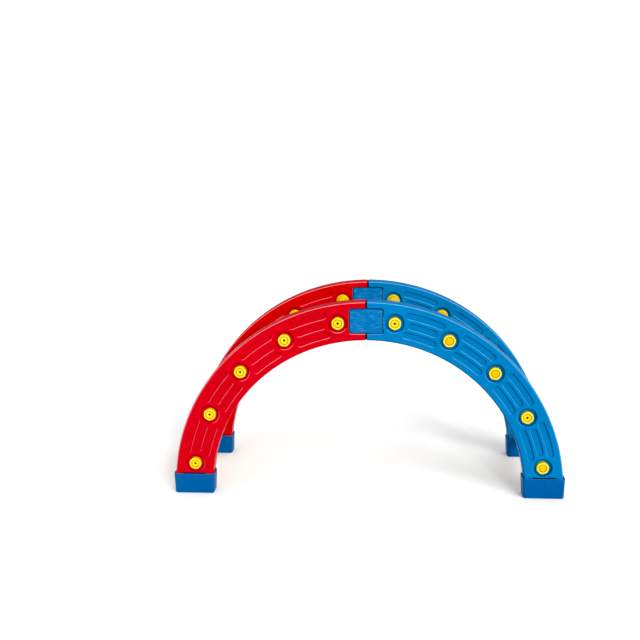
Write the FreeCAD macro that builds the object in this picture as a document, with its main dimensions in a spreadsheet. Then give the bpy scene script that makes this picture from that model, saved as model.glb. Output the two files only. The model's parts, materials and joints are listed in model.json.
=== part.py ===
import FreeCAD, Part
import math
import os
import Sketcher

# Climbing arch for small children: two quarter-circle ladder halves, joined at the crown.
# Frame: +Z up, the floor at Z 0, +X along the span with the blue half at +X, the front side at -Y.

doc = FreeCAD.newDocument("climbing_arch")
QUARTER_TURN = 90
HEX_SIDES = 6

# Driving sizes, in millimetres unless the words say otherwise.
SIZES = [
    ("outer_radius", 600, "outside radius of the curved beams"),
    ("beam_depth", 118, "beam section, measured along the radius"),
    ("beam_thick", 44, "beam section, measured across the arch"),
    ("beam_spacing", 330, "front beam to rear beam, centre to centre"),
    ("beam_wall", 3, "wall of the hollow beam"),
    ("rim_round", 5, "rounding along the outer and inner rims of a beam"),
    ("edge_round", 2, "rounding of the fork and the groove mouths"),
    ("seam_gap", 3.5, "gap between the two halves at the crown, along its edges"),
    ("seam_depth", 6, "depth of that gap behind the faces of the beams"),
    ("rung_count", 5, "rungs in one half, a count"),
    ("well_gap", 7.7, "room for a socket spanner round the corners of a bolt head"),
    ("well_depth", 10, "depth of the round wells for bolt heads and rung collars"),
    ("well_round", 2.5, "rounding of the well mouths"),
    ("groove_depth", 4.5, "depth of a decorative groove"),
    ("groove_round", 2, "rounding along the floor of a groove"),
    ("groove_margin", 20, "outer groove to the rim of the beam"),
    ("groove_ridge", 11, "ridge between two grooves"),
    ("groove_land", 11.2, "end of a groove to the well beside it"),
    ("lip_depth", 20, "radial depth of each lip of the forked beam ends"),
    ("fork_web", 4.7, "bottom of the fork slot to the well beside it"),
    ("fork_round", 8, "corner rounding of the fork slot"),
    ("rung_wall", 4, "wall of the tubular rung"),
    ("flute_count", 12, "grip flutes round a rung, a count"),
    ("flute_radius", 2, "radius of a grip flute"),
    ("flute_depth", 1, "depth of a grip flute"),
    ("collar_rise", 3.5, "collar standing out from the rung"),
    ("collar_proud", 5, "collar standing out of its well"),
    ("collar_round", 2, "rounding of the collar"),
    ("shank_radius", 12.7, "radius of the rung bolt's shank"),
    ("shank_fit", 0.3, "shank to the bore of the rung, on the radius"),
    ("tunnel_fit", 0.5, "shank to the tunnel through the beam, on the radius"),
    ("thread_grip", 22, "length of shank held in the rung"),
    ("head_flats", 35.5, "bolt head across its flats"),
    ("head_proud", 4, "bolt head standing out of its well"),
    ("head_corner", 13, "rounding of the six corners of a bolt head"),
    ("head_round", 1.5, "rounding along the top of a bolt head"),
    ("head_rim", 4.5, "rim of the bolt head outside its dish"),
    ("dish_depth", 2, "depth of the round dish in a bolt head"),
    ("ring_width", 2.5, "width of the ring recess round the boss in the dish"),
    ("ring_depth", 1.5, "depth of that ring recess below the dish"),
    ("ring_round", 0.5, "rounding of the ring recess and the centre hole"),
    ("head_turn", 17, "turn from one bolt head to the next, degrees"),
    ("eye_radius", 3.8, "radius of the centre hole of a bolt"),
    ("eye_depth", 40, "depth of the centre hole of a bolt"),
    ("plug_fit", 0.2, "plug stem to the centre hole, on the radius"),
    ("plug_stem", 8, "length of the plug stem"),
    ("plug_low", 0.2, "plug disc below the rim of the bolt head"),
    ("plug_step", 1, "rim of the boss left bare round a plug disc"),
    ("plug_round", 0.8, "rounding of the plug disc"),
    ("key_gap", 3, "gap round the faces of the crown connector"),
    ("band_gap", 0.25, "guide band of the connector to the fork slot"),
    ("band_inset", 7, "guide band from the faces of the connector"),
    ("key_recess", 1.5, "connector face below the beam face"),
    ("key_wall", 4, "wall of the hollow connector"),
    ("key_round", 3, "rounding of the connector faces"),
    ("rib_radius", 3, "radius of the connector's locking ribs"),
    ("rib_fit", 0.5, "locking rib to its channel"),
    ("rib_inset", 19.5, "locking rib to the bottom of the fork slot"),
    ("rib_stop", 12, "bare length of a locking rib's line at the outer face"),
    ("foot_height", 65, "height of a foot shoe"),
    ("foot_sole", 15, "sole of the shoe under the beam"),
    ("foot_wall", 3.5, "wall of the shoe at its mouth"),
    ("foot_gap", 0.6, "shoe to beam"),
    ("foot_draft", 1.5, "shoe narrower at the floor than at its mouth, on each side"),
    ("sole_round", 3, "rounding round the shoe's sole"),
    ("mouth_round", 1, "rounding of the shoe's mouth"),
    ("tongue_gap", 1, "tongue of the shoe to the fork slot"),
    ("tongue_short", 6, "top of the tongue to the bottom of the fork slot"),
    ("tongue_wall", 3, "wall of the hollow tongue"),
]

# Sizes that follow from the driving ones.
WORKED = [
    ("inner_radius", "=Sizes.outer_radius - Sizes.beam_depth", "inside radius of the beams"),
    ("mid_radius", "=Sizes.outer_radius - Sizes.beam_depth / 2", "circle of the rungs"),
    ("half_thick", "=Sizes.beam_thick / 2", "beam face from the middle of the beam"),
    ("half_spacing", "=Sizes.beam_spacing / 2", "beam from the middle of the arch"),
    ("seam_half", "=Sizes.seam_gap / 2", "crown end of a beam from the middle of the arch"),
    ("seam_low", "=inner_radius - Sizes.beam_wall", "seam cut, with overrun inside the arch"),
    ("seam_high", "=Sizes.outer_radius + Sizes.beam_wall", "seam cut, with overrun outside the arch"),
    ("rung_pitch", "=90 / Sizes.rung_count", "angle between rungs, degrees"),
    ("rung_span", "=90 - 90 / Sizes.rung_count", "first rung to last rung, degrees"),
    ("bay_span", "=rung_span - rung_pitch", "first bay to last bay, degrees"),
    ("first_x", "=mid_radius * cos(rung_pitch / 2 * 1 deg)", "lowest rung, along the span"),
    ("first_z", "=mid_radius * sin(rung_pitch / 2 * 1 deg)", "lowest rung, above the beam end"),
    ("well_radius", "=Sizes.head_flats / sqrt(3) + Sizes.well_gap", "radius of a well"),
    ("post_radius", "=well_radius + Sizes.beam_wall", "solid post round a well"),
    ("tunnel_radius", "=Sizes.shank_radius + Sizes.tunnel_fit", "tunnel through a beam"),
    ("groove_field", "=Sizes.beam_depth - 2 * Sizes.groove_margin", "the three grooves and two ridges"),
    ("groove_width", "=(groove_field - 2 * Sizes.groove_ridge) / 3", "width of a decorative groove"),
    ("groove_half", "=groove_width / 2", "half width of a groove"),
    ("groove_step", "=groove_width + Sizes.groove_ridge", "groove to groove"),
    ("groove_reach", "=well_radius + Sizes.groove_land + groove_half", "well centre to groove end"),
    ("slot_half", "=Sizes.beam_depth / 2 - Sizes.lip_depth", "half height of the fork slot"),
    ("slot_depth", "=first_z - well_radius - Sizes.fork_web", "depth of the fork slot"),
    ("slot_low", "=mid_radius - slot_half", "inner wall of the fork slot"),
    ("slot_high", "=mid_radius + slot_half", "outer wall of the fork slot"),
    ("slot_mouth", "=Sizes.beam_wall", "overrun of the slot cut past the beam end"),
    ("nose_half", "=half_thick - Sizes.seam_depth", "touching noses of the lips, half width"),
    ("nose_reach", "=seam_half + Sizes.edge_round", "noses from the seam, let into the rounded lips"),
    ("nose_low", "=inner_radius + Sizes.edge_round", "nose of the inner lip, inner side"),
    ("nose_high", "=Sizes.outer_radius - Sizes.edge_round", "nose of the outer lip, outer side"),
    ("core_outer", "=Sizes.outer_radius - Sizes.beam_wall", "outside radius of the hollow"),
    ("core_inner", "=inner_radius + Sizes.beam_wall", "inside radius of the hollow"),
    ("core_end", "=slot_depth + Sizes.beam_wall", "hollow from the beam end"),
    ("core_thick", "=Sizes.beam_thick - 2 * (Sizes.groove_depth + Sizes.beam_wall)", "hollow, across"),
    ("post_thick", "=Sizes.beam_thick - 2 * Sizes.well_depth", "web between two wells"),
    ("post_length", "=core_thick + Sizes.beam_wall", "solid post, let into both walls"),
    ("rib_line", "=slot_depth - Sizes.rib_inset", "locking rib from the crown seam"),
    ("rib_slot", "=Sizes.rib_radius + Sizes.rib_fit", "radius of the rib's channel"),
    ("key_thick", "=Sizes.beam_thick - 2 * Sizes.key_recess", "connector, across"),
    ("key_face", "=key_thick / 2", "connector face from the middle of the beam"),
    ("rib_travel", "=half_thick + key_face - Sizes.rib_stop + Sizes.rib_fit", "length of the channel"),
    ("key_half_x", "=slot_depth - Sizes.key_gap", "half length of the connector"),
    ("key_half_z", "=slot_half - Sizes.key_gap", "half height of the connector"),
    ("band_half_x", "=slot_depth - Sizes.band_gap", "half length of the guide band"),
    ("band_half_z", "=slot_half - Sizes.band_gap", "half height of the guide band"),
    ("band_thick", "=key_thick - 2 * Sizes.band_inset", "guide band, across"),
    ("band_face", "=band_thick / 2", "side of the guide band from the middle of the beam"),
    ("rib_length", "=band_face + key_face - Sizes.rib_stop", "length of a locking rib"),
    ("rib_low", "=mid_radius - band_half_z", "lower ribs from the centre of the arc"),
    ("rib_high", "=mid_radius + band_half_z", "upper ribs from the centre of the arc"),
    ("key_core_x", "=key_half_x - Sizes.key_wall", "half length of its hollow"),
    ("key_core_z", "=key_half_z - Sizes.key_wall", "half height of its hollow"),
    ("key_core", "=key_thick - 2 * Sizes.key_wall", "its hollow, across"),
    ("bore_radius", "=Sizes.shank_radius + Sizes.shank_fit", "bore of the rung"),
    ("rung_radius", "=bore_radius + Sizes.rung_wall", "radius of the rung"),
    ("rung_length", "=Sizes.beam_spacing - post_thick", "rung between the floors of two wells"),
    ("flute_line", "=rung_radius + Sizes.flute_radius - Sizes.flute_depth", "axis of a flute"),
    ("collar_radius", "=rung_radius + Sizes.collar_rise", "radius of the collar"),
    ("collar_thick", "=Sizes.well_depth + Sizes.collar_proud", "length of the collar"),
    ("collar_start", "=rung_length / 2 - collar_thick", "collar from the middle of the rung"),
    ("head_corners", "=Sizes.head_flats / sqrt(3)", "corner radius of the bolt head"),
    ("head_height", "=Sizes.well_depth + Sizes.head_proud", "height of the bolt head"),
    ("head_seat", "=half_spacing + post_thick / 2", "seat of a bolt head from the middle"),
    ("shank_length", "=post_thick + Sizes.thread_grip", "length of the shank"),
    ("ring_outer", "=Sizes.head_flats / 2 - Sizes.head_rim", "radius of the dish"),
    ("dish_level", "=head_height - Sizes.dish_depth", "floor of the dish above the seat"),
    ("boss_radius", "=ring_outer - Sizes.ring_width", "boss inside the ring recess"),
    ("plug_radius", "=boss_radius - Sizes.plug_step", "radius of the plug disc"),
    ("stem_radius", "=Sizes.eye_radius - Sizes.plug_fit", "radius of the plug stem"),
    ("plug_thick", "=Sizes.dish_depth - Sizes.plug_low", "thickness of the plug disc"),
    ("plug_seat", "=head_seat + dish_level", "boss of a bolt from the middle"),
    ("crown_height", "=Sizes.foot_sole + mid_radius", "connector above the floor"),
    ("foot_grip", "=Sizes.foot_height - Sizes.foot_sole", "beam end held in the shoe"),
    ("beam_lean", "=inner_radius - sqrt(inner_radius ^ 2 - foot_grip ^ 2)", "inward lean at the mouth"),
    ("seat_in", "=inner_radius - Sizes.foot_gap", "shoe cavity, inner side at the sole"),
    ("seat_out", "=Sizes.outer_radius + Sizes.foot_gap", "shoe cavity, outer side"),
    ("seat_half", "=half_thick + Sizes.foot_gap", "shoe cavity, half width"),
    ("mouth_in", "=seat_in - beam_lean", "shoe cavity, inner side at the mouth"),
    ("shoe_in", "=mouth_in - Sizes.foot_wall", "shoe outside, inner side at the mouth"),
    ("shoe_out", "=seat_out + Sizes.foot_wall", "shoe outside, outer side at the mouth"),
    ("shoe_half", "=seat_half + Sizes.foot_wall", "shoe outside, half width at the mouth"),
    ("sole_in", "=seat_in - Sizes.foot_wall + Sizes.foot_draft", "shoe outside, inner side at the floor"),
    ("sole_out", "=shoe_out - Sizes.foot_draft", "shoe outside, outer side at the floor"),
    ("sole_half", "=shoe_half - Sizes.foot_draft", "shoe outside, half width at the floor"),
    ("shoe_round", "=Sizes.rim_round + Sizes.foot_wall", "rounding of the shoe's upright corners"),
    ("tongue_in", "=mid_radius - slot_half + Sizes.tongue_gap", "tongue, inner side"),
    ("tongue_out", "=mid_radius + slot_half - Sizes.tongue_gap", "tongue, outer side"),
    ("tongue_half", "=half_thick - Sizes.tongue_wall", "tongue, half width"),
    ("tongue_height", "=slot_depth - Sizes.tongue_short", "tongue above the sole"),
    ("cell_in", "=tongue_in + Sizes.tongue_wall", "hollow of the tongue, inner side"),
    ("cell_out", "=tongue_out - Sizes.tongue_wall", "hollow of the tongue, outer side"),
    ("cell_half", "=tongue_half - Sizes.tongue_wall", "hollow of the tongue, half width"),
]

# Three grooves lie side by side in each bay. Their round ends keep clear of the wells beside them.
GROOVES = [("outer", "+ groove_step"), ("middle", ""), ("inner", "- groove_step")]
for groove, offset in GROOVES:
    line = f"{groove}_line"
    turn = f"acos(({line} ^ 2 + mid_radius ^ 2 - groove_reach ^ 2) / (2 * {line} * mid_radius))"
    WORKED += [
        (line, f"=mid_radius {offset}", f"radius of the {groove} groove"),
        (f"{groove}_far", f"={line} + groove_half", f"outer edge of the {groove} groove"),
        (f"{groove}_near", f"={line} - groove_half", f"inner edge of the {groove} groove"),
        (f"{groove}_swing", f"=rung_pitch / 2 * 1 deg - {turn}", f"half angle of the {groove} groove"),
        (f"{groove}_end", f"={line} * sin({groove}_swing)", f"half length of the {groove} groove"),
    ]


def fill_sheet(name, rows):
    sheet = doc.addObject("Spreadsheet::Sheet", name)
    for row, (alias, content, meaning) in enumerate(rows, start=1):
        sheet.set(f"A{row}", meaning)
        sheet.set(f"B{row}", str(content))
        sheet.setAlias(f"B{row}", alias)
    doc.recompute()
    return sheet


sheets = {"Sizes": fill_sheet("Sizes", SIZES), "Worked": fill_sheet("Worked", WORKED)}
home = {alias: "Sizes" for alias, content, meaning in SIZES}
home.update({alias: "Worked" for alias, content, meaning in WORKED})


def cell(alias):
    return f"{home[alias]}.{alias}"


def number(alias):
    value = sheets[home[alias]].get(alias)
    return float(getattr(value, "Value", value))


# Sketch helpers: every dimension is a constraint bound to a cell.


def new_body(name):
    body = doc.addObject("PartDesign::Body", name)
    body.Label = name
    return body


def new_sketch(body, name, plane, lift=None, turn=None):
    sketch = body.newObject("Sketcher::SketchObject", name)
    support = [item for item in body.Origin.OriginFeatures if item.Role == plane]
    sketch.AttachmentSupport = (support[0], [""])
    sketch.MapMode = "FlatFace"
    if turn:
        quarter = FreeCAD.Rotation(FreeCAD.Vector(0, 0, 1), QUARTER_TURN)
        sketch.AttachmentOffset = FreeCAD.Placement(FreeCAD.Vector(), quarter)
        sketch.setExpression("AttachmentOffset.Rotation.Angle", turn)
    if lift:
        sketch.setExpression("AttachmentOffset.Base.z", lift)
    return sketch


def bind(sketch, constraint, alias):
    index = sketch.addConstraint(constraint)
    sketch.setExpression(f"Constraints[{index}]", cell(alias))


def set_radius(sketch, item, alias):
    bind(sketch, Sketcher.Constraint("Radius", item, number(alias)), alias)


def set_place(sketch, kind, item, point, side):
    # A side is the alias of a distance from the sketch origin, with a minus sign for the negative side.
    alias = side.lstrip("-")
    if side.startswith("-"):
        constraint = Sketcher.Constraint(kind, item, point, -1, 1, number(alias))
    else:
        constraint = Sketcher.Constraint(kind, -1, 1, item, point, number(alias))
    bind(sketch, constraint, alias)


def signed(side):
    value = number(side.lstrip("-"))
    return -value if side.startswith("-") else value


def add_rectangle(sketch, left, right, bottom, top):
    x0, x1, y0, y1 = signed(left), signed(right), signed(bottom), signed(top)
    corners = [(x0, y0), (x1, y0), (x1, y1), (x0, y1)]
    first = sketch.GeometryCount
    for start, end in zip(corners, corners[1:] + corners[:1]):
        sketch.addGeometry(Part.LineSegment(FreeCAD.Vector(*start, 0), FreeCAD.Vector(*end, 0)))
    for side in range(4):
        following = first + (side + 1) % 4
        sketch.addConstraint(Sketcher.Constraint("Coincident", first + side, 2, following, 1))
        direction = "Horizontal" if side % 2 == 0 else "Vertical"
        sketch.addConstraint(Sketcher.Constraint(direction, first + side))
    set_place(sketch, "DistanceX", first, 1, left)
    set_place(sketch, "DistanceX", first + 1, 1, right)
    set_place(sketch, "DistanceY", first, 1, bottom)
    set_place(sketch, "DistanceY", first + 2, 1, top)


def add_circle(sketch, radius, across=None, up=None):
    centre = FreeCAD.Vector(signed(across) if across else 0, signed(up) if up else 0, 0)
    item = sketch.addGeometry(Part.Circle(centre, FreeCAD.Vector(0, 0, 1), number(radius)))
    set_radius(sketch, item, radius)
    if across is None and up is None:
        sketch.addConstraint(Sketcher.Constraint("Coincident", item, 3, -1, 1))
        return
    for kind, axis, side in (("DistanceX", -2, across), ("DistanceY", -1, up)):
        if side:
            set_place(sketch, kind, item, 3, side)
        else:
            sketch.addConstraint(Sketcher.Constraint("PointOnObject", item, 3, axis))


def add_arc(sketch, centre, radius, start, end):
    circle = Part.Circle(centre, FreeCAD.Vector(0, 0, 1), radius)
    return sketch.addGeometry(Part.ArcOfCircle(circle, start, end))


def add_hexagon(sketch, radius):
    corners = []
    for step in range(HEX_SIDES):
        angle = 2 * math.pi * step / HEX_SIDES
        corners.append(FreeCAD.Vector(math.cos(angle), math.sin(angle), 0) * number(radius))
    for start, end in zip(corners, corners[1:] + corners[:1]):
        sketch.addGeometry(Part.LineSegment(start, end))
    ring = sketch.addGeometry(Part.Circle(FreeCAD.Vector(), FreeCAD.Vector(0, 0, 1), number(radius)), True)
    sketch.addConstraint(Sketcher.Constraint("Coincident", ring, 3, -1, 1))
    set_radius(sketch, ring, radius)
    for side in range(HEX_SIDES):
        following = (side + 1) % HEX_SIDES
        sketch.addConstraint(Sketcher.Constraint("Coincident", side, 2, following, 1))
        sketch.addConstraint(Sketcher.Constraint("PointOnObject", side, 1, ring))
        if side > 0:
            sketch.addConstraint(Sketcher.Constraint("Equal", 0, side))
    sketch.addConstraint(Sketcher.Constraint("PointOnObject", 0, 1, -1))


# Feature helpers: each one checks that it really added or removed material.


def settle(body, feature, grows):
    before = body.Tip.BaseFeature.Shape.Volume if body.Tip.BaseFeature else 0
    doc.recompute()
    change = feature.Shape.Volume - before
    if grows and change <= 0 or not grows and change >= 0:
        raise RuntimeError(f"{body.Label}: {feature.Label} changed nothing")
    return feature


def extrude(body, kind, sketch, length=None, both_ways=False, flipped=False):
    feature = body.newObject("PartDesign::" + kind, sketch.Label + "_" + kind.lower())
    feature.Profile = sketch
    if length:
        feature.setExpression("Length", length)
    else:
        feature.Type = "ThroughAll"
    if both_ways:
        feature.SideType = "Symmetric"
    feature.Reversed = flipped
    return settle(body, feature, kind == "Pad")


def repeat_round(body, name, originals, axis, count, span, flipped=False):
    pattern = body.newObject("PartDesign::PolarPattern", name)
    pattern.Originals = originals
    line = [item for item in body.Origin.OriginFeatures if item.Role == axis]
    pattern.Axis = (line[0], [""])
    pattern.Reversed = flipped
    pattern.setExpression("Angle", span)
    pattern.setExpression("Occurrences", count)
    body.Tip = pattern
    doc.recompute()
    return pattern


def round_edges(body, name, chosen, radius):
    base = body.Tip
    names = [f"Edge{index}" for index, edge in enumerate(base.Shape.Edges, start=1) if chosen(edge)]
    if not names:
        raise RuntimeError(f"{body.Label}: {name} found no edge")
    fillet = body.newObject("PartDesign::Fillet", name)
    fillet.Base = (base, names)
    fillet.setExpression("Radius", radius)
    doc.recompute()
    if fillet.Shape.isNull() or not fillet.Shape.isValid():
        raise RuntimeError(f"{body.Label}: {name} could not be rounded")
    return fillet


# Edge tests, used to choose what gets rounded. Lengths agree within SAME, boxes of edges within LOOSE.

SAME = 0.001
LOOSE = 0.01
PARALLEL = 0.9999


def near(value, target):
    return abs(value - target) < SAME


def is_arc(edge, radius):
    return isinstance(edge.Curve, Part.Circle) and near(edge.Curve.Radius, radius)


def box_flat(edge, axis, level):
    box = edge.BoundBox
    low = getattr(box, axis + "Min")
    high = getattr(box, axis + "Max")
    return abs(low - level) < LOOSE and abs(high - level) < LOOSE


def runs_along(edge, axis):
    if not isinstance(edge.Curve, Part.Line):
        return False
    return abs(edge.Curve.Direction.dot(axis)) > PARALLEL


# A quarter-circle beam. Its own frame has the centre of the arc at the origin, the foot end on +X and the
# crown end on +Z, with the face towards the inside of the arch on the +Y side.


def place_on_floor(item, across, up):
    item.setExpression("Placement.Base.y", across)
    if up:
        item.setExpression("Placement.Base.z", up)


def add_fork_slot(body, name, end):
    sketch = new_sketch(body, name, "XZ_Plane")
    if end == "foot":
        add_rectangle(sketch, "slot_low", "slot_high", "-slot_mouth", "slot_depth")
    else:
        add_rectangle(sketch, "-slot_mouth", "slot_depth", "slot_low", "slot_high")
    return extrude(body, "Pocket", sketch, both_ways=True)


def add_rib_channels(body, name, end):
    # Half-round channels in the lips, open towards the inside of the arch only.
    sketch = new_sketch(body, name, "XZ_Plane", "-" + cell("half_thick"))
    for side in ("rib_low", "rib_high"):
        if end == "foot":
            add_circle(sketch, "rib_slot", side, "rib_line")
        else:
            add_circle(sketch, "rib_slot", "rib_line", side)
    return extrude(body, "Pocket", sketch, cell("rib_travel"), flipped=True)


def add_groove(body, groove, face, lift, flipped):
    sketch = new_sketch(body, f"{groove}_groove_{face}", "XZ_Plane", lift, cell("rung_pitch"))
    radius = number(f"{groove}_line")
    swing = math.radians(number(f"{groove}_swing"))
    half = number("groove_half")
    origin = FreeCAD.Vector()
    upper_end = FreeCAD.Vector(math.cos(swing), math.sin(swing), 0) * radius
    lower_end = FreeCAD.Vector(math.cos(swing), -math.sin(swing), 0) * radius
    far_edge = add_arc(sketch, origin, radius + half, -swing, swing)
    upper = add_arc(sketch, upper_end, half, swing, swing + math.pi)
    near_edge = add_arc(sketch, origin, radius - half, -swing, swing)
    lower = add_arc(sketch, lower_end, half, math.pi - swing, 2 * math.pi - swing)
    for edge in (far_edge, near_edge):
        sketch.addConstraint(Sketcher.Constraint("Coincident", edge, 3, -1, 1))
    for first, first_point, second, second_point in (
        (far_edge, 2, upper, 1),
        (upper, 2, near_edge, 2),
        (near_edge, 1, lower, 1),
        (lower, 2, far_edge, 1),
    ):
        sketch.addConstraint(Sketcher.Constraint("Tangent", first, first_point, second, second_point))
    set_radius(sketch, far_edge, f"{groove}_far")
    set_radius(sketch, near_edge, f"{groove}_near")
    set_place(sketch, "DistanceY", upper, 3, f"{groove}_end")
    set_place(sketch, "DistanceY", lower, 3, f"-{groove}_end")
    return extrude(body, "Pocket", sketch, cell("groove_depth"), flipped=flipped)


def add_core_outline(sketch):
    outer = number("core_outer")
    inner = number("core_inner")
    end = number("core_end")
    outer_turn = math.asin(end / outer)
    inner_turn = math.asin(end / inner)
    far_wall = add_arc(sketch, FreeCAD.Vector(), outer, outer_turn, math.pi / 2 - outer_turn)
    near_wall = add_arc(sketch, FreeCAD.Vector(), inner, inner_turn, math.pi / 2 - inner_turn)
    outer_run = math.sqrt(outer ** 2 - end ** 2)
    inner_run = math.sqrt(inner ** 2 - end ** 2)
    foot_wall = Part.LineSegment(FreeCAD.Vector(inner_run, end, 0), FreeCAD.Vector(outer_run, end, 0))
    crown_wall = Part.LineSegment(FreeCAD.Vector(end, inner_run, 0), FreeCAD.Vector(end, outer_run, 0))
    foot_end = sketch.addGeometry(foot_wall)
    crown_end = sketch.addGeometry(crown_wall)
    for wall in (far_wall, near_wall):
        sketch.addConstraint(Sketcher.Constraint("Coincident", wall, 3, -1, 1))
    for first, first_point, second, second_point in (
        (foot_end, 1, near_wall, 1),
        (foot_end, 2, far_wall, 1),
        (crown_end, 1, near_wall, 2),
        (crown_end, 2, far_wall, 2),
    ):
        sketch.addConstraint(Sketcher.Constraint("Coincident", first, first_point, second, second_point))
    sketch.addConstraint(Sketcher.Constraint("Horizontal", foot_end))
    sketch.addConstraint(Sketcher.Constraint("Vertical", crown_end))
    set_radius(sketch, far_wall, "core_outer")
    set_radius(sketch, near_wall, "core_inner")
    set_place(sketch, "DistanceY", foot_end, 1, "core_end")
    set_place(sketch, "DistanceX", crown_end, 1, "core_end")


def build_beam(name):
    body = new_body(name)
    section = new_sketch(body, "section", "XY_Plane")
    add_rectangle(section, "inner_radius", "outer_radius", "-half_thick", "half_thick")
    bar = body.newObject("PartDesign::Revolution", "bar")
    bar.Profile = section
    bar.ReferenceAxis = (section, ["V_Axis"])
    bar.Angle = QUARTER_TURN
    bar.Reversed = True
    settle(body, bar, True)
    rims = (number("inner_radius"), number("outer_radius"))
    round_edges(body, "rims", lambda edge: any(is_arc(edge, rim) for rim in rims), cell("rim_round"))

    # The crown end stops short of the other half, so that a seam shows. Noses on its lips close the seam.
    seam_cut = new_sketch(body, "seam", "XZ_Plane")
    add_rectangle(seam_cut, "-slot_mouth", "seam_half", "seam_low", "seam_high")
    extrude(body, "Pocket", seam_cut, both_ways=True)

    # Forked ends, with rounded corners and edges.
    across = FreeCAD.Vector(0, 1, 0)
    depth = number("slot_depth")
    for end in ("foot", "crown"):
        add_fork_slot(body, f"{end}_slot", end)

    def is_slot_corner(edge):
        box = edge.BoundBox
        return runs_along(edge, across) and (near(box.ZMin, depth) or near(box.XMin, depth))

    round_edges(body, "fork_corners", is_slot_corner, cell("fork_round"))
    face = number("half_thick")
    low, high = number("slot_low"), number("slot_high")
    seam = number("seam_half")

    def is_fork_edge(edge):
        if box_flat(edge, "X", seam) or box_flat(edge, "Z", 0):
            return True
        if not (box_flat(edge, "Y", face) or box_flat(edge, "Y", -face)):
            return False
        box = edge.BoundBox
        end = depth + LOOSE
        inside, outside = low - LOOSE, high + LOOSE
        at_foot = box.ZMax < end and inside < box.XMin and box.XMax < outside
        at_crown = box.XMax < end and inside < box.ZMin and box.ZMax < outside
        return at_foot or at_crown

    round_edges(body, "fork_edges", is_fork_edge, cell("edge_round"))
    noses = new_sketch(body, "noses", "YZ_Plane")
    add_rectangle(noses, "-nose_half", "nose_half", "nose_low", "slot_low")
    add_rectangle(noses, "-nose_half", "nose_half", "slot_high", "nose_high")
    extrude(body, "Pad", noses, cell("nose_reach"))
    for end in ("foot", "crown"):
        add_rib_channels(body, f"{end}_rib_channels", end)

    # Hollow inside, with a solid post where each rung is bolted on.
    core = new_sketch(body, "core", "XZ_Plane")
    add_core_outline(core)
    extrude(body, "Pocket", core, cell("core_thick"), both_ways=True)
    post_sketch = new_sketch(body, "post", "XZ_Plane")
    add_circle(post_sketch, "post_radius", "first_x", "first_z")
    post = extrude(body, "Pad", post_sketch, cell("post_length"), both_ways=True)
    repeat_round(body, "posts", [post], "Y_Axis", cell("rung_count"), cell("rung_span"), True)

    # A well on each face at every rung, and a tunnel for the bolt.
    outer_face = cell("half_thick")
    inner_face = "-" + cell("half_thick")
    wells = []
    for face_name, lift, flipped in (("outside", outer_face, False), ("inside", inner_face, True)):
        sketch = new_sketch(body, f"well_{face_name}", "XZ_Plane", lift)
        add_circle(sketch, "well_radius", "first_x", "first_z")
        wells.append(extrude(body, "Pocket", sketch, cell("well_depth"), flipped=flipped))
    tunnel_sketch = new_sketch(body, "tunnel", "XZ_Plane")
    add_circle(tunnel_sketch, "tunnel_radius", "first_x", "first_z")
    wells.append(extrude(body, "Pocket", tunnel_sketch, both_ways=True))
    repeat_round(body, "wells", wells, "Y_Axis", cell("rung_count"), cell("rung_span"), True)

    # Three decorative grooves between rungs, on both faces.
    cuts = []
    for groove, offset in GROOVES:
        cuts.append(add_groove(body, groove, "outside", outer_face, False))
        cuts.append(add_groove(body, groove, "inside", inner_face, True))
    repeat_round(body, "grooves", cuts, "Y_Axis", cell("rung_count") + " - 1", cell("bay_span"), True)

    floor = face - number("groove_depth")
    radii = [number("groove_half")]
    for groove, offset in GROOVES:
        radii += [number(f"{groove}_far"), number(f"{groove}_near")]

    def on_both_sides(edge, level):
        return box_flat(edge, "Y", level) or box_flat(edge, "Y", -level)

    def is_groove_floor(edge):
        return on_both_sides(edge, floor) and any(is_arc(edge, radius) for radius in radii)

    def is_groove_mouth(edge):
        return on_both_sides(edge, face) and any(is_arc(edge, radius) for radius in radii)

    def is_well_mouth(edge):
        return on_both_sides(edge, face) and is_arc(edge, number("well_radius"))

    round_edges(body, "groove_floors", is_groove_floor, cell("groove_round"))
    round_edges(body, "groove_mouths", is_groove_mouth, cell("edge_round"))
    round_edges(body, "well_mouths", is_well_mouth, cell("well_round"))
    place_on_floor(body, "-" + cell("half_spacing"), cell("foot_sole"))
    return body


# A rung: a fluted tube with a collar at each end, standing on Z in its own frame.


def lay_across(item, rung, across, turn=0):
    # Turn a piece from its own Z to the arch's -Y and put it at a rung's place in the blue half.
    tip_over = FreeCAD.Rotation(FreeCAD.Vector(1, 0, 0), QUARTER_TURN)
    spin = FreeCAD.Rotation(FreeCAD.Vector(0, 0, 1), turn)
    item.Placement = FreeCAD.Placement(FreeCAD.Vector(), tip_over.multiply(spin))
    angle = f"{cell('rung_pitch')} * ({rung} - 0.5) * 1 deg"
    item.setExpression("Placement.Base.x", f"{cell('mid_radius')} * cos({angle})")
    item.setExpression("Placement.Base.z", f"{cell('foot_sole')} + {cell('mid_radius')} * sin({angle})")
    if across:
        item.setExpression("Placement.Base.y", across)


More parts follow.
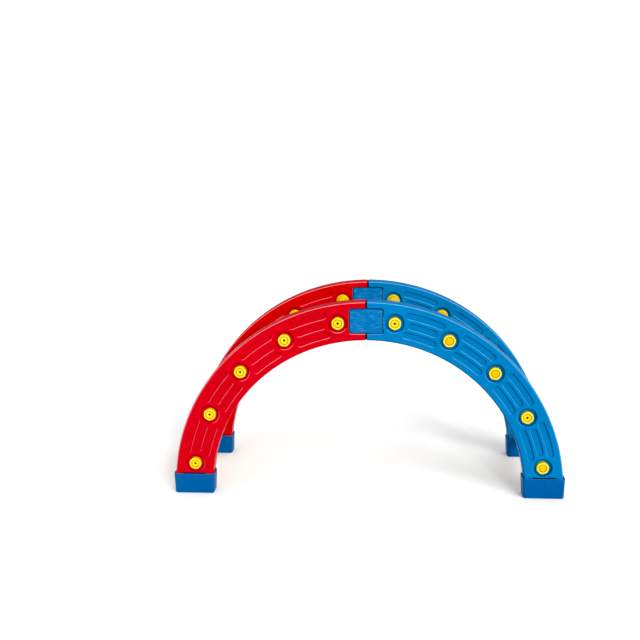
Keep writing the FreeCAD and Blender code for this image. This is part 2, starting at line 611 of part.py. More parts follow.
def build_rung(name, rung):
    body = new_body(name)
    tube = new_sketch(body, "tube", "XY_Plane")
    add_circle(tube, "rung_radius")
    extrude(body, "Pad", tube, cell("rung_length"), both_ways=True)
    flute_sketch = new_sketch(body, "flute", "XY_Plane")
    add_circle(flute_sketch, "flute_radius", "flute_line")
    flute = extrude(body, "Pocket", flute_sketch, both_ways=True)
    turn = f"360 - 360 / {cell('flute_count')}"
    repeat_round(body, "flutes", [flute], "Z_Axis", cell("flute_count"), turn)
    for end, sign, flipped in (("front", "", False), ("rear", "-", True)):
        collar = new_sketch(body, f"{end}_collar", "XY_Plane", sign + cell("collar_start"))
        add_circle(collar, "collar_radius")
        extrude(body, "Pad", collar, cell("collar_thick"), flipped=flipped)
    bore = new_sketch(body, "bore", "XY_Plane")
    add_circle(bore, "bore_radius")
    extrude(body, "Pocket", bore, both_ways=True)
    shoulder = number("collar_start")

    def is_shoulder(edge):
        inner_side = box_flat(edge, "Z", shoulder) or box_flat(edge, "Z", -shoulder)
        return inner_side and is_arc(edge, number("collar_radius"))

    round_edges(body, "collar_shoulders", is_shoulder, cell("collar_round"))
    lay_across(body, rung, None)
    return body


# A rung bolt: a hex head with a dish, a ring recess round a boss, a centre hole and a plain shank.


def build_bolt(name, rung):
    body = new_body(name)
    head = new_sketch(body, "head", "XY_Plane")
    add_hexagon(head, "head_corners")
    extrude(body, "Pad", head, cell("head_height"))
    upright = FreeCAD.Vector(0, 0, 1)
    round_edges(body, "head_corners", lambda edge: runs_along(edge, upright), cell("head_corner"))
    shank = new_sketch(body, "shank", "XY_Plane")
    add_circle(shank, "shank_radius")
    extrude(body, "Pad", shank, cell("shank_length"), flipped=True)
    top = number("head_height")
    round_edges(body, "head_top", lambda edge: box_flat(edge, "Z", top), cell("head_round"))
    dish = new_sketch(body, "dish", "XY_Plane", cell("head_height"))
    add_circle(dish, "ring_outer")
    extrude(body, "Pocket", dish, cell("dish_depth"))
    ring = new_sketch(body, "ring", "XY_Plane", cell("dish_level"))
    add_circle(ring, "ring_outer")
    add_circle(ring, "boss_radius")
    extrude(body, "Pocket", ring, cell("ring_depth"))
    eye = new_sketch(body, "eye", "XY_Plane", cell("dish_level"))
    add_circle(eye, "eye_radius")
    extrude(body, "Pocket", eye, cell("eye_depth"))
    dish_floor = number("dish_level")

    def is_ring(edge):
        if is_arc(edge, number("ring_outer")):
            return box_flat(edge, "Z", top)
        return box_flat(edge, "Z", dish_floor)

    round_edges(body, "ring_edges", is_ring, cell("ring_round"))
    lay_across(body, rung, "-" + cell("head_seat"), number("head_turn") * rung)
    return body


# A plug that closes the centre hole of a bolt.


def build_plug(name, rung):
    body = new_body(name)
    disc = new_sketch(body, "disc", "XY_Plane")
    add_circle(disc, "plug_radius")
    extrude(body, "Pad", disc, cell("plug_thick"))
    stem = new_sketch(body, "stem", "XY_Plane")
    add_circle(stem, "stem_radius")
    extrude(body, "Pad", stem, cell("plug_stem"), flipped=True)
    top = number("plug_thick")
    round_edges(body, "disc_edge", lambda edge: box_flat(edge, "Z", top), cell("plug_round"))
    lay_across(body, rung, "-" + cell("plug_seat"))
    return body


# The crown connector: a hollow block in the fork slots of two beams, with a close-fitting guide band round
# its middle. Ribs along its top and bottom lock the halves together. They end short of the outer face, so
# the block goes in from inside the arch.


def build_connector(name):
    body = new_body(name)
    block = new_sketch(body, "block", "XZ_Plane")
    add_rectangle(block, "-key_half_x", "key_half_x", "-key_half_z", "key_half_z")
    extrude(body, "Pad", block, cell("key_thick"), both_ways=True)
    band = new_sketch(body, "band", "XZ_Plane")
    add_rectangle(band, "-band_half_x", "band_half_x", "-band_half_z", "band_half_z")
    extrude(body, "Pad", band, cell("band_thick"), both_ways=True)
    across = FreeCAD.Vector(0, 1, 0)
    round_edges(body, "block_corners", lambda edge: runs_along(edge, across), cell("fork_round"))
    face = number("key_face")

    def is_face_edge(edge):
        return box_flat(edge, "Y", face) or box_flat(edge, "Y", -face)

    round_edges(body, "block_edges", is_face_edge, cell("key_round"))
    core = new_sketch(body, "core", "XZ_Plane")
    add_rectangle(core, "-key_core_x", "key_core_x", "-key_core_z", "key_core_z")
    extrude(body, "Pocket", core, cell("key_core"), both_ways=True)
    ribs = new_sketch(body, "ribs", "XZ_Plane", "-" + cell("band_face"))
    for side in ("-rib_line", "rib_line"):
        for level in ("-band_half_z", "band_half_z"):
            add_circle(ribs, "rib_radius", side, level)
    extrude(body, "Pad", ribs, cell("rib_length"))
    place_on_floor(body, "-" + cell("half_spacing"), cell("crown_height"))
    return body


# A foot shoe: a cup that slips over the beam end, with a hollow tongue between the fork's lips.


def add_tapered_block(body, kind, name, levels, lower, upper):
    # A block with planar sides, given by the two levels and by its four sides at each of them.
    block = body.newObject("PartDesign::" + kind, name)
    tip_over = FreeCAD.Rotation(FreeCAD.Vector(1, 0, 0), QUARTER_TURN)
    block.Placement = FreeCAD.Placement(FreeCAD.Vector(), tip_over)
    names = ["Ymin", "Ymax", "Xmin", "Xmax", "Zmin", "Zmax", "X2min", "X2max", "Z2min", "Z2max"]
    for property_name, side in zip(names, levels + lower + upper):
        alias = side.lstrip("-")
        sign = "-" if side.startswith("-") else ""
        block.setExpression(property_name, sign + cell(alias) if alias != "0" else "0")
    return settle(body, block, kind == "AdditiveWedge")


def build_foot(name):
    body = new_body(name)
    add_tapered_block(
        body, "AdditiveWedge", "shoe",
        ("0", "foot_height"),
        ("sole_in", "sole_out", "-sole_half", "sole_half"),
        ("shoe_in", "shoe_out", "-shoe_half", "shoe_half"),
    )
    add_tapered_block(
        body, "SubtractiveWedge", "cavity",
        ("foot_sole", "foot_height"),
        ("seat_in", "seat_out", "-seat_half", "seat_half"),
        ("mouth_in", "seat_out", "-seat_half", "seat_half"),
    )
    floor = 0
    seat = number("foot_sole")
    rim = number("foot_height")

    def spans(edge, low, high):
        ends = sorted(vertex.Z for vertex in edge.Vertexes)
        return near(ends[0], low) and near(ends[-1], high)

    round_edges(body, "cavity_corners", lambda edge: spans(edge, seat, rim), cell("rim_round"))
    round_edges(body, "shoe_corners", lambda edge: spans(edge, floor, rim), cell("shoe_round"))
    round_edges(body, "sole_edge", lambda edge: spans(edge, floor, floor), cell("sole_round"))
    round_edges(body, "mouth_edges", lambda edge: spans(edge, rim, rim), cell("mouth_round"))
    tongue = new_sketch(body, "tongue", "XY_Plane", cell("foot_sole"))
    add_rectangle(tongue, "tongue_in", "tongue_out", "-tongue_half", "tongue_half")
    add_rectangle(tongue, "cell_in", "cell_out", "-cell_half", "cell_half")
    extrude(body, "Pad", tongue, cell("tongue_height"))
    place_on_floor(body, "-" + cell("half_spacing"), None)
    return body


# The whole arch: the blue front quarter is modelled, and the others are its mirror images.

ACROSS = FreeCAD.Vector(0, 1, 0)
ALONG = FreeCAD.Vector(1, 0, 0)
pieces = []


def keep(item):
    pieces.append(item)
    return item


def mirror_image(source, name, normal):
    image = doc.addObject("Part::Mirroring", name)
    image.Label = name
    image.Source = source
    image.Normal = normal
    return keep(image)


def four_corners(build, kind, *details):
    blue_front = keep(build(f"blue_front_{kind}", *details))
    blue_rear = mirror_image(blue_front, f"blue_rear_{kind}", ACROSS)
    mirror_image(blue_front, f"red_front_{kind}", ALONG)
    mirror_image(blue_rear, f"red_rear_{kind}", ALONG)


PLUGGED_BOLTS = (1, 3, 4)

four_corners(build_beam, "beam")
four_corners(build_foot, "foot")
front_connector = keep(build_connector("front_crown_connector"))
mirror_image(front_connector, "rear_crown_connector", ACROSS)
for rung in range(1, int(number("rung_count")) + 1):
    blue_rung = keep(build_rung(f"blue_rung_{rung}", rung))
    mirror_image(blue_rung, f"red_rung_{rung}", ALONG)
    four_corners(build_bolt, f"bolt_{rung}", rung)
    if rung in PLUGGED_BOLTS:
        keep(build_plug(f"blue_front_plug_{rung}", rung))
doc.recompute()

for item in doc.Objects:
    if "Invalid" in item.State or "Error" in item.State:
        raise RuntimeError(f"{item.Label} failed: {item.State}")
os.makedirs("parts", exist_ok=True)
for piece in pieces:
    shape = piece.Shape
    if shape.isNull() or not shape.isValid() or len(shape.Solids) != 1:
        raise RuntimeError(f"{piece.Label} is not one sound solid")
for piece in pieces:
    piece.Shape.exportStep(f"parts/{piece.Label}.step")
    print(piece.Label, round(piece.Shape.Volume / 1000, 1), "cm3")
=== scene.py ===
# %% [markdown]
# # A climbing arch
# The arch is a half circle of two ladder halves, one red and one blue. Each half has two hollow plastic
# side beams, five yellow rungs between them and a yellow bolt at each rung end. Small plugs close three of
# the bolts. Blue shoes carry the beam ends, and two blue blocks join the halves at the crown.
#
# The shapes and sizes come from a CAD model, which is loaded first and stays where it is. This lesson
# gives it surfaces, a floor, light and a camera. All lengths are in metres.

# %% Load the frame
import json
import math

import bmesh
import bpy
from mathutils import Matrix, Vector


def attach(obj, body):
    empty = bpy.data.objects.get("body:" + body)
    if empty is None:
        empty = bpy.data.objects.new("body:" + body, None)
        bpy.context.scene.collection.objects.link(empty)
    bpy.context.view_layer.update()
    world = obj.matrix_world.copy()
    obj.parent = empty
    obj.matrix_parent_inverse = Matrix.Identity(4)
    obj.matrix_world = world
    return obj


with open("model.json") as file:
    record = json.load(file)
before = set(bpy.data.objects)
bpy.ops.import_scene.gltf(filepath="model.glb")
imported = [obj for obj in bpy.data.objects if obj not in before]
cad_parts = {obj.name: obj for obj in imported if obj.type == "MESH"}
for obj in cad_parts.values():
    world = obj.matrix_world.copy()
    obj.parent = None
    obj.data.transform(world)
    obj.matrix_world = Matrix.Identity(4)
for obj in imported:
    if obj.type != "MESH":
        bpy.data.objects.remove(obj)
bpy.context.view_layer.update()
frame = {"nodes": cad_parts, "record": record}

# %% [markdown]
# ## Where the camera stands
# The photograph was taken from about two and a half metres away, well above the crown and slightly to one
# side. Matching the bolt heads and the rims of the beams to the picture gives the place, the direction and
# the lens. Yaw, pitch and roll are turned into the three axes of the camera, because then each of them can
# be changed by itself.

# %% Camera
PICTURE_SIDE = 640
SENSOR_WIDTH = 36
FOCAL_PIXELS = 836.3
CAMERA_PLACE = Vector((0.0447, -2.5995, 1.1233))
YAW, PITCH, ROLL = (math.radians(angle) for angle in (-4.304, -13.104, -0.866))

forward = Vector((math.sin(YAW) * math.cos(PITCH), math.cos(YAW) * math.cos(PITCH), math.sin(PITCH)))
level = Vector((math.cos(YAW), -math.sin(YAW), 0))
plumb = level.cross(forward)
right = math.cos(ROLL) * level + math.sin(ROLL) * plumb
up = math.cos(ROLL) * plumb - math.sin(ROLL) * level

lens = bpy.data.cameras.new("camera")
lens.sensor_width = SENSOR_WIDTH
lens.lens = FOCAL_PIXELS * SENSOR_WIDTH / PICTURE_SIDE
camera = bpy.data.objects.new("camera", lens)
axes = Matrix((right, up, -forward)).transposed()
camera.matrix_world = Matrix.Translation(CAMERA_PLACE) @ axes.to_4x4()
bpy.context.scene.collection.objects.link(camera)
bpy.context.scene.camera = camera
print("lens:", round(lens.lens, 2), "mm")

# %% [markdown]
# ## Strong colours
# Toy plastics are strong, clean colours. The standard view keeps them saturated, where a film-like view
# would wash out the bright red and yellow. A product photograph also has its black point set a little above
# black, which takes the thin haze of reflected white off the colours.

# %% View
BLACK_POINT = 0.013

view = bpy.context.scene.view_settings
view.view_transform = "Standard"
view.look = "None"
view.use_curve_mapping = True
view.curve_mapping.black_level = (BLACK_POINT, BLACK_POINT, BLACK_POINT)
view.curve_mapping.update()
print("view:", view.view_transform, "with a black point of", BLACK_POINT)

# %% [markdown]
# ## Floor
# A studio floor is a wide pale sheet of paper without a visible edge. It is dull, so that it shows soft
# shadows and no mirror image of the arch.

# %% Floor paper
PAPER_WHITE = (0.9, 0.9, 0.9, 1)
PAPER_ROUGHNESS = 0.9
PAPER_SHINE = 0.1

paper = bpy.data.materials.new("studio_paper")
paper.use_nodes = True
paper_shader = paper.node_tree.nodes["Principled BSDF"]
paper_shader.inputs["Base Color"].default_value = PAPER_WHITE
paper_shader.inputs["Roughness"].default_value = PAPER_ROUGHNESS
paper_shader.inputs["Specular IOR Level"].default_value = PAPER_SHINE
print("paper:", PAPER_WHITE)

# %% [markdown]
# The floor is laid in four quarters, one under each shoe. Each quarter goes with its shoe, so that it still
# carries the shoe when the arch is lifted out of it. A quarter starts as a filled circle, and two cuts
# through its middle take the rest away.

# %% Floor quarters
FLOOR_RADIUS = 14
FLOOR_SEGMENTS = 96
RIGHT_ANGLE = math.radians(90)
CUT_TOLERANCE = 0.0001
SHOES_ROUND = ("blue_rear_foot", "red_rear_foot", "red_front_foot", "blue_front_foot")


def add_quarter(shoe, number):
    shape = bmesh.new()
    bmesh.ops.create_circle(shape, cap_ends=True, segments=FLOOR_SEGMENTS, radius=FLOOR_RADIUS)
    for turn in (number, number + 1):
        inwards = (math.cos(turn * RIGHT_ANGLE), math.sin(turn * RIGHT_ANGLE), 0)
        whole = shape.verts[:] + shape.edges[:] + shape.faces[:]
        bmesh.ops.bisect_plane(
            shape, geom=whole, dist=CUT_TOLERANCE, plane_co=(0, 0, 0), plane_no=inwards, clear_inner=True)
    shape.normal_update()
    bmesh.ops.reverse_faces(shape, faces=[face for face in shape.faces if face.normal.z < 0])
    mesh = bpy.data.meshes.new("studio_floor")
    shape.to_mesh(mesh)
    shape.free()
    mesh.materials.append(paper)
    quarter = bpy.data.objects.new(f"studio_floor_{shoe}", mesh)
    bpy.context.scene.collection.objects.link(quarter)
    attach(quarter, shoe)
    return sum(face.area for face in mesh.polygons)


floor_area = sum(add_quarter(shoe, number) for number, shoe in enumerate(SHOES_ROUND))
print("floor quarters:", len(SHOES_ROUND), "area:", round(floor_area), "square metres")

# %% [markdown]
# ## Studio light
# Three soft lamps and white walls all round light the arch. The key light stands on the right. A front light,
# near the camera, reaches into the wells round the bolts and leaves a crescent of shade in them. A top light
# keeps the floor white. Suns are used for all three, because they light a wide floor evenly: a lamp close by
# would leave the far floor grey. A wider spread makes the edge of a shadow softer. The front light is small
# and low, so its mirror image would whiten the rims when they are seen from behind: it is left out of
# reflections.

# %% Lamps
STUDIO_LAMPS = {
    "key_light": {"towards": (0.65, -0.75, 0.75), "strength": 0.48, "spread": 30, "mirrored": True},
    "front_light": {"towards": (0.36, -1.0, 0.36), "strength": 0.41, "spread": 10, "mirrored": False},
    "top_light": {"towards": (0, 0, 1), "strength": 0.25, "spread": 90, "mirrored": True},
}


def add_lamp(name, towards, strength, spread, mirrored):
    light = bpy.data.lights.new(name, "SUN")
    light.angle = math.radians(spread)
    light.energy = strength * math.pi
    lamp = bpy.data.objects.new(name, light)
    lamp.visible_glossy = mirrored
    lamp.matrix_world = Vector(towards).to_track_quat("Z", "Y").to_matrix().to_4x4()
    bpy.context.scene.collection.objects.link(lamp)


for name, settings in STUDIO_LAMPS.items():
    add_lamp(name, **settings)
print("lamps:", ", ".join(STUDIO_LAMPS))

# %% [markdown]
# The white walls are the world. As a backdrop they are a little brighter than the light they give, so that
# they join the floor without a horizon. In mirrored light the room is dimmer, as a studio is beyond its
# lamps, and so the colours keep their depth where a surface is seen at a flat angle.

# %% World
WHITE = (1, 1, 1, 1)
WALL_LIGHT = 0.7
WALL_MIRRORED = 0.25
WALL_BACKDROP = 1.1

world = bpy.data.worlds.new("studio")
bpy.context.scene.world = world
world.use_nodes = True
room = world.node_tree


def paint_walls(walls, strength):
    walls.inputs["Color"].default_value = WHITE
    walls.inputs["Strength"].default_value = strength
    return walls.outputs["Background"]


rays = room.nodes.new("ShaderNodeLightPath")
surrounding = paint_walls(room.nodes["Background"], WALL_LIGHT)
for ray, strength in (("Is Glossy Ray", WALL_MIRRORED), ("Is Camera Ray", WALL_BACKDROP)):
    walls = paint_walls(room.nodes.new("ShaderNodeBackground"), strength)
    choice = room.nodes.new("ShaderNodeMixShader")
    room.links.new(rays.outputs[ray], choice.inputs["Fac"])
    room.links.new(surrounding, choice.inputs[1])
    room.links.new(walls, choice.inputs[2])
    surrounding = choice.outputs["Shader"]
room.links.new(surrounding, room.nodes["World Output"].inputs["Surface"])
print("walls:", WALL_LIGHT, "mirrored:", WALL_MIRRORED, "backdrop:", WALL_BACKDROP)

# %% [markdown]
# ## Patterns in plastic
# Every piece is moulded plastic, coloured right through. Moulded plastic is never one flat colour: the
# pigment is a little uneven and the tool leaves a fine grain. Edges get pale tones that are partly rubbed
# wear and partly painted highlight, and hollows get tones of painted shade or painted light. Pictures could
# be wrapped round the pieces for this. Patterns that are worked out from the place of a point are used
# instead, because they have real sizes and no seams.
#
# Most of them are noise, laid through a piece in its own coordinates. A stretch draws the noise out along one
# direction, and a turn tilts that direction. A range says which values count, from where a pattern begins to
# where it is full.

# %% Noise and ranges


def add_noise(tree, place, size, detail, stretch=1, turn=0):
    mapping = tree.nodes.new("ShaderNodeMapping")
    mapping.vector_type = "TEXTURE"
    mapping.inputs["Rotation"].default_value = (0, turn, 0)
    mapping.inputs["Scale"].default_value = (1, 1, stretch)
    tree.links.new(place, mapping.inputs["Vector"])
    noise = tree.nodes.new("ShaderNodeTexNoise")
    noise.inputs["Scale"].default_value = 1 / size
    noise.inputs["Detail"].default_value = detail
    tree.links.new(mapping.outputs["Vector"], noise.inputs["Vector"])
    return noise.outputs["Fac"]


def remap(tree, value, old, new=(0, 1)):
    node = tree.nodes.new("ShaderNodeMapRange")
    for name, number in zip(("From Min", "From Max", "To Min", "To Max"), (*old, *new)):
        node.inputs[name].default_value = number
    tree.links.new(value, node.inputs["Value"])
    return node.outputs["Result"]


# %% [markdown]
# ## Finding hollows and edges
# A point in a hollow sees little open space in front of it, and a point on an edge has little material
# behind it. Short rays, sent out of the skin or into it, measure both, so no piece needs a painted mask. The
# result is the share of rays that stay free, so a tone begins at a large share and is full at a small one.

# %% Hollows and edges
RAY_COUNT = 8
HOLLOW_REACH = 0.008
EDGE_SHARES = (0.92, 0.5)


def look_around(tree, reach, inside):
    node = tree.nodes.new("ShaderNodeAmbientOcclusion")
    node.samples = RAY_COUNT
    node.inside = inside
    node.only_local = True
    node.inputs["Distance"].default_value = reach
    return node.outputs["AO"]


def find_hollows(tree, shares, amount=1):
    return remap(tree, look_around(tree, HOLLOW_REACH, False), shares, (0, amount))


def find_edges(tree, reach, amount):
    return remap(tree, look_around(tree, reach, True), EDGE_SHARES, (0, amount))


# %% [markdown]
# ## Body of a plastic
# All finishes start from the same body. Its pigment drifts slowly between the full colour and a slightly
# darker one, as it does where coloured granules are melted together.

# %% Body
DARKER_PIGMENT = 0.93
DRIFT = {"size": 0.18, "detail": 2}
DRIFT_RANGE = (0.35, 0.65)


def mix_colours(tree, factor, first, second):
    node = tree.nodes.new("ShaderNodeMix")
    node.data_type = "RGBA"
    tree.links.new(factor, node.inputs["Factor"])
    for name, colour in (("A", first), ("B", second)):
        socket = [item for item in node.inputs if item.name == name and item.type == "RGBA"][0]
        if isinstance(colour, tuple):
            socket.default_value = colour
        else:
            tree.links.new(colour, socket)
    return [item for item in node.outputs if item.type == "RGBA"][0]


def lay_body(tree, place, colour):
    drift = remap(tree, add_noise(tree, place, **DRIFT), DRIFT_RANGE)
    darker = tuple(DARKER_PIGMENT * part for part in colour[:3]) + (1,)
    return mix_colours(tree, drift, darker, colour)


# %% [markdown]
# ## Scratches
# A toy that is put together and climbed over gets thin scratches. They are a fine noise, drawn out to lines
# in two directions, of which only the peaks are kept. Cut into the shapes, they would need far too many
# faces.

# %% Scratches
STEEP_LINES = {"size": 0.0012, "detail": 2, "stretch": 30, "turn": 0.5}
STEEP_PEAKS = (0.68, 0.74)
FLAT_LINES = {"size": 0.0012, "detail": 2, "stretch": 22, "turn": -1.25}
FLAT_PEAKS = (0.69, 0.75)


def calculate(tree, operation, *values):
    node = tree.nodes.new("ShaderNodeMath")
    node.operation = operation
    for socket, value in zip(node.inputs, values):
        if isinstance(value, float):
            socket.default_value = value
        else:
            tree.links.new(value, socket)
    return node.outputs["Value"]


def add_scratches(tree, place):
    steep = remap(tree, add_noise(tree, place, **STEEP_LINES), STEEP_PEAKS)
    flat = remap(tree, add_noise(tree, place, **FLAT_LINES), FLAT_PEAKS)
    return calculate(tree, "MAXIMUM", steep, flat)


# %% [markdown]
# ## Skin of a plastic
# The skin is the same for all finishes: a soft waviness, as thick mouldings have, and a fine grain. The gloss
# varies in patches, because hands polish some places and dull others, and scratches take some of it away.

# %% Skin
PLASTIC_SHINE = 0.12
PATCHES = {"size": 0.03, "detail": 4}
PATCH_RANGE = (0.3, 0.7)
POLISHED_BY = 0.05
DULLED_BY = 0.07
SCRATCHED_BY = 0.15
WAVES = {"size": 0.03, "detail": 2}
WAVE_HEIGHT = 0.0003
GRAIN = {"size": 0.0011, "detail": 2}
GRAIN_HEIGHT = 0.00005


def add_bump(tree, height, depth, normal=None):
    node = tree.nodes.new("ShaderNodeBump")
    node.inputs["Distance"].default_value = depth
    tree.links.new(height, node.inputs["Height"])
    if normal:
        tree.links.new(normal, node.inputs["Normal"])
    return node.outputs["Normal"]


def lay_skin(tree, shader, place, roughness, scratches):
    patches = add_noise(tree, place, **PATCHES)
    handled = remap(tree, patches, PATCH_RANGE, (roughness - POLISHED_BY, roughness + DULLED_BY))
    scratched = calculate(tree, "MULTIPLY_ADD", scratches, SCRATCHED_BY, handled)
    tree.links.new(scratched, shader.inputs["Roughness"])
    waves = add_bump(tree, add_noise(tree, place, **WAVES), WAVE_HEIGHT)
    grain = add_bump(tree, add_noise(tree, place, **GRAIN), GRAIN_HEIGHT, waves)
    tree.links.new(grain, shader.inputs["Normal"])
    shader.inputs["Specular IOR Level"].default_value = PLASTIC_SHINE


# %% [markdown]
# ## Beams
# The lips of the grooves and the rims get a painted highlight, a pale tone where they face away from the
# middle of the half circle. Such a lip lies close to the side face of the beam, and its surface turns both
# outwards and sideways. Both are worked out from the place of a point and from its normal.

# %% Outwards and sideways
ARC_HEIGHT = 0.015


def split(tree, vector):
    node = tree.nodes.new("ShaderNodeSeparateXYZ")
    tree.links.new(vector, node.inputs["Vector"])
    return node.outputs


def find_outwards(tree, place):
    centred = tree.nodes.new("ShaderNodeMapping")
    centred.inputs["Location"].default_value = (0, 0, -ARC_HEIGHT)
    centred.inputs["Scale"].default_value = (1, 0, 1)
    tree.links.new(place, centred.inputs["Vector"])
    outwards = tree.nodes.new("ShaderNodeVectorMath")
    outwards.operation = "NORMALIZE"
    tree.links.new(centred.outputs["Vector"], outwards.inputs[0])
    return outwards.outputs["Vector"]


def find_turn(tree, outwards, normal):
    facing = tree.nodes.new("ShaderNodeVectorMath")
    facing.operation = "DOT_PRODUCT"
    tree.links.new(outwards, facing.inputs[0])
    tree.links.new(normal, facing.inputs[1])
    sideways = calculate(tree, "ABSOLUTE", split(tree, normal)["Y"])
    return calculate(tree, "MULTIPLY", facing.outputs["Value"], sideways)


# %% [markdown]
# How far a point is from the middle of its beam tells whether it is on a lip: the lips are the outermost
# millimetre or so on both sides. The line and the half thickness of the beams are those of the CAD model. The
# painted highlight on the lips is patchy, and it grows from the feet to the crown, as the lips turn to face
# upwards.

# %% Lips and their painted highlight
BEAM_LINE = 0.165
BEAM_FACE = 0.022
LIP_DEEP = 0.0016
LIP_FULL = 0.0010
PATCH_HIGHLIGHT = (0.6, 1)
UPWARD_RISE = (0, 0.8)
UPWARD_HIGHLIGHT = (0.3, 1)


def find_lips(tree, place):
    across = calculate(tree, "ABSOLUTE", split(tree, place)["Y"])
    off_line = calculate(tree, "SUBTRACT", across, BEAM_LINE)
    depth = calculate(tree, "ABSOLUTE", off_line)
    return remap(tree, depth, (BEAM_FACE - LIP_DEEP, BEAM_FACE - LIP_FULL))


def find_lip_highlight(tree, place, outwards):
    patchy = remap(tree, add_noise(tree, place, **PATCHES), PATCH_RANGE, PATCH_HIGHLIGHT)
    upward = remap(tree, split(tree, outwards)["Z"], UPWARD_RISE, UPWARD_HIGHLIGHT)
    return calculate(tree, "MULTIPLY", patchy, upward)


# %% [markdown]
# The joint between the two halves at the crown is painted dark, as painted shade. The joint is the narrow
# space on both sides of the middle of the arch.

# %% Painted shade in the joint of the halves
JOINT_EDGE = 0.0036
JOINT_FULL = 0.0020
JOINT_PAINTED_SHADE = (0.012, 0.008, 0.012, 1)
JOINT_SHADE_COVER = 0.9


def find_joint(tree, place):
    distance = calculate(tree, "ABSOLUTE", split(tree, place)["X"])
    return remap(tree, distance, (JOINT_EDGE, JOINT_FULL), (0, JOINT_SHADE_COVER))


# %% [markdown]
# The finish of a beam is laid in this order: the body, a painted light in the hollows and a painted shade on
# the lips that face the middle of the arch, then a painted highlight on the outward lips, scratches and the
# painted shade of the joint, and last the skin.

# %% Beam plastic
BEAM_ROUGHNESS = 0.33
BEAM_HOLLOWS = (0.8, 0.4)
INWARD_TURN = (-0.25, -0.45)
OUTWARD_TURN = (0.24, 0.4)
BEAM_SCRATCHES = 0.05


def start_finish(name):
    material = bpy.data.materials.new(name)
    material.use_nodes = True
    tree = material.node_tree
    shader = tree.nodes["Principled BSDF"]
    place = tree.nodes.new("ShaderNodeTexCoord").outputs["Object"]
    return material, tree, shader, place


def beam_plastic(name, colour, painted_hollow_light, painted_lip_shade, highlight_and_wear):
    material, tree, shader, place = start_finish(name)
    body = lay_body(tree, place, colour)
    # Painted light: the hollows take a tone brighter than the shade that falls in them.
    body = mix_colours(tree, find_hollows(tree, BEAM_HOLLOWS), body, painted_hollow_light)
    outwards = find_outwards(tree, place)
    turn = find_turn(tree, outwards, tree.nodes.new("ShaderNodeNewGeometry").outputs["Normal"])
    # Painted shade: lips that face the middle of the arch are darkened.
    body = mix_colours(tree, remap(tree, turn, INWARD_TURN), body, painted_lip_shade)
    # Painted highlight: lips that face away from the middle of the arch turn pale.
    outer = calculate(tree, "MULTIPLY", remap(tree, turn, OUTWARD_TURN), find_lips(tree, place))
    lip_highlight = calculate(tree, "MULTIPLY", outer, find_lip_highlight(tree, place, outwards))
    body = mix_colours(tree, lip_highlight, body, highlight_and_wear)
    scratches = add_scratches(tree, place)
    body = mix_colours(tree, calculate(tree, "MULTIPLY", scratches, BEAM_SCRATCHES), body, highlight_and_wear)
    # Painted shade: the joint between the halves is darkened.
    body = mix_colours(tree, find_joint(tree, place), body, JOINT_PAINTED_SHADE)
    tree.links.new(body, shader.inputs["Base Color"])
    lay_skin(tree, shader, place, BEAM_ROUGHNESS, scratches)
    return material


# %% [markdown]
# Red is given a painted light in its hollows: its tone there is brighter than its body, where shade would
# fall. Blue's hollows are painted only a little brighter, but its inward lips get a much darker painted
# shade.

# %% Red and blue beams
finishes = {
    "red_plastic": beam_plastic(
        "red_plastic",
        colour=(0.475, 0.0, 0.007, 1),
        painted_hollow_light=(0.68, 0.0, 0.012, 1),
        painted_lip_shade=(0.45, 0.0, 0.006, 1),
        highlight_and_wear=(0.92, 0.27, 0.30, 1),
    ),
    "blue_plastic": beam_plastic(
        "blue_plastic",
        colour=(0.0, 0.149, 0.378, 1),
        painted_hollow_light=(0.003, 0.165, 0.385, 1),
        painted_lip_shade=(0.0, 0.045, 0.16, 1),
        highlight_and_wear=(0.09, 0.39, 0.70, 1),
    ),
}
print("beam finishes:", ", ".join(finishes))

# %% [markdown]
# ## Shoes and connectors
# Both are a darker blue and a duller plastic. They are handled most when the arch is put together, so their
# faces are scratched and have faint level streaks. Their edges get a pale tone that is partly rubbed wear and
# partly painted highlight, and their hollows get a painted shade.

# %% Dull plastic
DULL_ROUGHNESS = 0.42
DULL_HOLLOWS = (0.6, 0.1)
DULL_HOLLOW_SHADE_SHARE = 0.7
DULL_EDGE = 0.002
DULL_EDGE_SHEEN_AND_WEAR = 0.7
STREAKS = {"size": 0.018, "detail": 8, "stretch": 0.35}
STREAK_RANGE = (0.45, 0.8)


def dull_plastic(name, colour, hollow_shade_tone, highlight_and_wear, scuffs):
    material, tree, shader, place = start_finish(name)
    body = lay_body(tree, place, colour)
    # Painted shade: hollows are darkened.
    body = mix_colours(tree, find_hollows(tree, DULL_HOLLOWS, DULL_HOLLOW_SHADE_SHARE), body, hollow_shade_tone)
    streaks = remap(tree, add_noise(tree, place, **STREAKS), STREAK_RANGE, (0, scuffs))
    body = mix_colours(tree, streaks, body, highlight_and_wear)
    scratches = add_scratches(tree, place)
    body = mix_colours(tree, calculate(tree, "MULTIPLY", scratches, scuffs), body, highlight_and_wear)
    # Rubbed wear and painted highlight: edges turn pale.
    body = mix_colours(tree, find_edges(tree, DULL_EDGE, DULL_EDGE_SHEEN_AND_WEAR), body, highlight_and_wear)
    tree.links.new(body, shader.inputs["Base Color"])
    lay_skin(tree, shader, place, DULL_ROUGHNESS, scratches)
    return material


# %% [markdown]
# Connectors share the plastic of the shoes, but they are lighter and far more scuffed. So they have a finish
# of their own, found by a word in the name of a piece.

# %% Shoes and connectors
finishes["dark_blue_plastic"] = dull_plastic(
    "dark_blue_plastic",
    colour=(0.0, 0.080, 0.265, 1),
    hollow_shade_tone=(0.0, 0.028, 0.11, 1),
    highlight_and_wear=(0.10, 0.28, 0.52, 1),
    scuffs=0.05,
)
own_finishes = {
    "connector": dull_plastic(
        "connector_plastic",
        colour=(0.0, 0.125, 0.345, 1),
        hollow_shade_tone=(0.0, 0.03, 0.12, 1),
        highlight_and_wear=(0.12, 0.37, 0.65, 1),
        scuffs=0.25,
    ),
}
print("dull finishes:", finishes["dark_blue_plastic"].name, own_finishes["connector"].name)
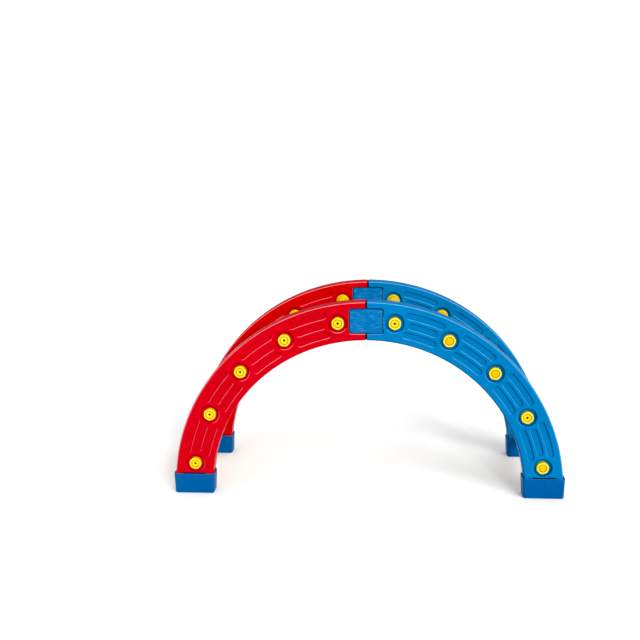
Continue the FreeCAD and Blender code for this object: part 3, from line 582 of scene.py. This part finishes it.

# %% [markdown]
# ## Rungs, bolts and plugs
# Shallow hollows in the yellow get a darker orange tone as painted shade, and deep holes are painted nearly
# black as painted shade. Edges get a lemon tone that is partly rubbed wear and partly painted highlight.

# %% Yellow plastic
YELLOW_ROUGHNESS = 0.32
SHALLOW_HOLLOWS = (0.85, 0.45)
SHALLOW_SHADE_SHARE = 0.6
RIM_SHEEN_AND_WEAR = 0.8
DEEP_HOLES = (0.46, 0.3)
HOLE_PAINTED_SHADE = (0.02, 0.008, 0.001, 1)


def yellow_plastic(name, colour, shallow_hollow_shade, highlight_and_wear, rim):
    material, tree, shader, place = start_finish(name)
    body = lay_body(tree, place, colour)
    # Painted shade: shallow hollows turn a darker orange.
    body = mix_colours(tree, find_hollows(tree, SHALLOW_HOLLOWS, SHALLOW_SHADE_SHARE), body, shallow_hollow_shade)
    # Rubbed wear and painted highlight: edges turn lemon.
    body = mix_colours(tree, find_edges(tree, rim, RIM_SHEEN_AND_WEAR), body, highlight_and_wear)
    # Painted shade: deep holes turn nearly black.
    body = mix_colours(tree, find_hollows(tree, DEEP_HOLES), body, HOLE_PAINTED_SHADE)
    tree.links.new(body, shader.inputs["Base Color"])
    lay_skin(tree, shader, place, YELLOW_ROUGHNESS, add_scratches(tree, place))
    return material


# %% [markdown]
# The plugs are a warmer yellow. Bolts share the plastic of the rungs, but on their heads the lemon tone of
# wear and painted highlight reaches further in from the rim, so they have a finish of their own, too.

# %% Rungs, plugs and bolts
finishes["yellow_plastic"] = yellow_plastic(
    "yellow_plastic",
    colour=(0.76, 0.54, 0.003, 1),
    shallow_hollow_shade=(0.62, 0.34, 0.001, 1),
    highlight_and_wear=(0.84, 0.68, 0.05, 1),
    rim=0.0025,
)
finishes["orange_plastic"] = yellow_plastic(
    "orange_plastic",
    colour=(0.76, 0.42, 0.002, 1),
    shallow_hollow_shade=(0.55, 0.24, 0.001, 1),
    highlight_and_wear=(0.8, 0.55, 0.03, 1),
    rim=0.0012,
)
own_finishes["bolt"] = yellow_plastic(
    "bolt_plastic",
    colour=(0.75, 0.52, 0.003, 1),
    shallow_hollow_shade=(0.58, 0.30, 0.001, 1),
    highlight_and_wear=(0.85, 0.70, 0.055, 1),
    rim=0.0045,
)
print("finishes:", ", ".join(finishes), "and for", ", ".join(own_finishes))

# %% [markdown]
# ## Dressing the pieces
# The record names a material slot for each piece, and the finishes carry the same names. Connectors and bolts
# take their own finish instead.

# %% Dress the pieces


def finish_of(row):
    for word, finish in own_finishes.items():
        if word in row["node"]:
            return finish
    return finishes[row["material_slot"]]


dressed = 0
for row in frame["record"]["subparts"]:
    item = frame["nodes"][row["node"]]
    item.data.materials.clear()
    item.data.materials.append(finish_of(row))
    dressed += 1
print("dressed:", dressed)
